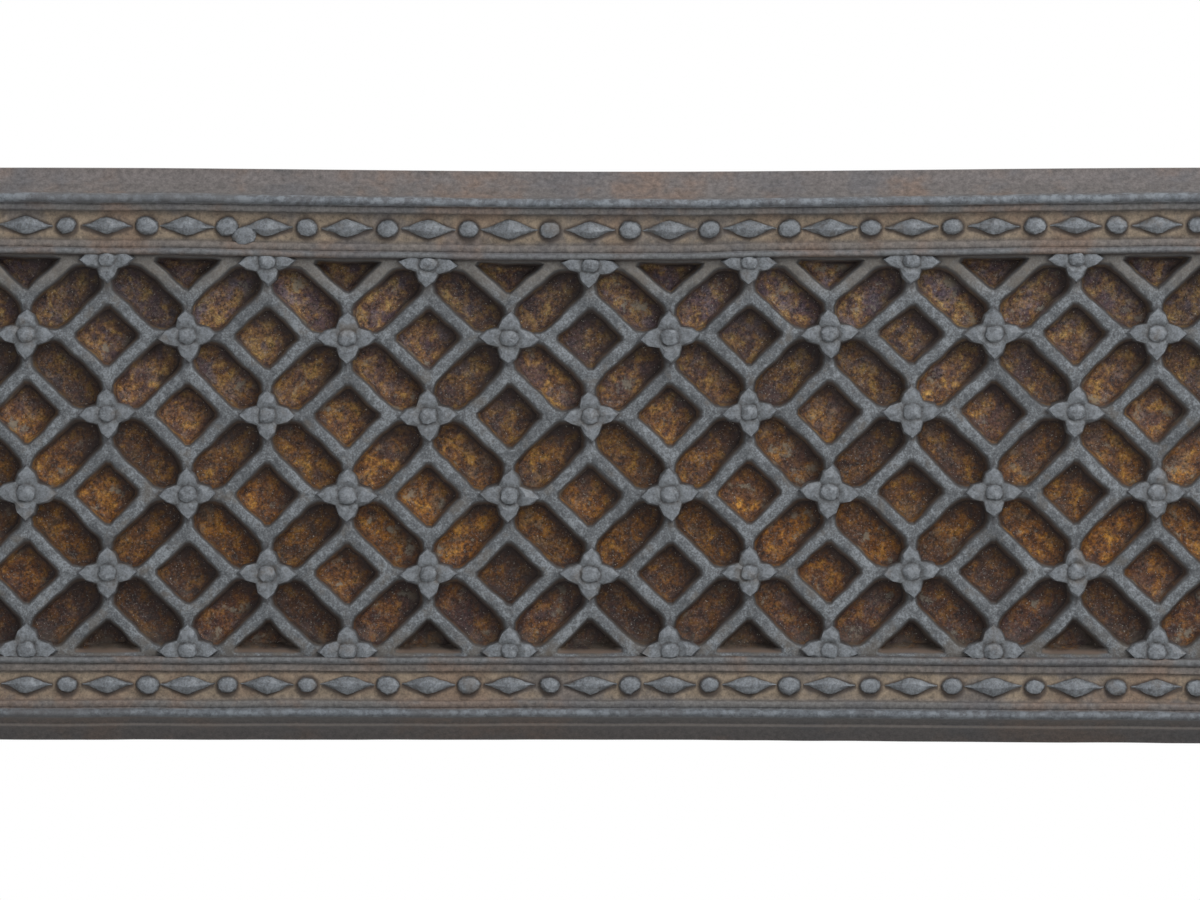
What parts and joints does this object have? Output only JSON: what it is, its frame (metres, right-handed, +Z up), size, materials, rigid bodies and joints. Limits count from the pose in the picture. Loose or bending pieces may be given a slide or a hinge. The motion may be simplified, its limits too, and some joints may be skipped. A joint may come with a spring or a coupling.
{
  "type": "cast iron fireplace insert",
  "caption": "Relief-cast iron fireplace insert: latticed lintel and mitred jambs with rosettes and beaded borders frame an open hearth, with a sliding sheet-iron shutter behind.",
  "frame": {"origin": "middle of the insert's box in plan, at the hearth under the jambs", "axes": "+X across the insert to the viewer's right, +Y from the front into the fireplace, +Z up"},
  "size_m": [1.08, 0.069, 0.7985],
  "materials": {
    "relief_casting": "bare sand-cast iron, grey on the high parts and rust brown in the pockets",
    "guide_iron": "bare iron with thin rust",
    "strap_iron": "wrought strip, dull with thin rust",
    "fastener_steel": "dull forged steel",
    "sheet_iron": "blackened rolled sheet",
    "knob_iron": "hand-worn iron"
  },
  "bodies": {
    "frame": {"lintel_panel": "relief_casting", "left_jamb_panel": "relief_casting", "right_jamb_panel": "relief_casting", "left_corner_plate": "guide_iron", "right_corner_plate": "guide_iron", "left_guide_rail": "guide_iron", "right_guide_rail": "guide_iron", "header_angle": "guide_iron", "left_lower_wall_strap": "strap_iron", "right_lower_wall_strap": "strap_iron", "left_upper_wall_strap": "strap_iron", "right_upper_wall_strap": "strap_iron", "left_top_wall_strap": "strap_iron", "right_top_wall_strap": "strap_iron", "corner_bolts": "fastener_steel", "rail_bolts": "fastener_steel", "header_bolts": "fastener_steel", "strap_bolts": "fastener_steel", "corner_washers": "fastener_steel", "rail_washers": "fastener_steel", "header_washers": "fastener_steel", "strap_washers": "fastener_steel"},
    "lower_shutter": {"lower_leaf": "sheet_iron", "lower_leaf_bar": "sheet_iron", "lifting_angle": "sheet_iron", "left_pull_bracket": "sheet_iron", "right_pull_bracket": "sheet_iron", "left_pull_knob": "knob_iron", "right_pull_knob": "knob_iron", "bar_rivets": "fastener_steel", "bracket_rivets": "fastener_steel"},
    "middle_shutter": {"middle_leaf": "sheet_iron"},
    "upper_shutter": {"upper_leaf": "sheet_iron"}
  },
  "joints": [
    {"name": "lower_leaf_slide", "type": "slide", "parent": "frame", "child": "lower_shutter", "axis": [0, 0, -1], "range_m": [0, 0.534]},
    {"name": "middle_leaf_slide", "type": "slide", "parent": "frame", "child": "middle_shutter", "axis": [0, 0, -1], "range_m": [0, 0.356]},
    {"name": "upper_leaf_slide", "type": "slide", "parent": "frame", "child": "upper_shutter", "axis": [0, 0, -1], "range_m": [0, 0.178]}
  ],
  "couplings": [
    {"joint": "middle_leaf_slide", "follows": "lower_leaf_slide", "ratio": 0.6666},
    {"joint": "upper_leaf_slide", "follows": "lower_leaf_slide", "ratio": 0.3333}
  ]
}
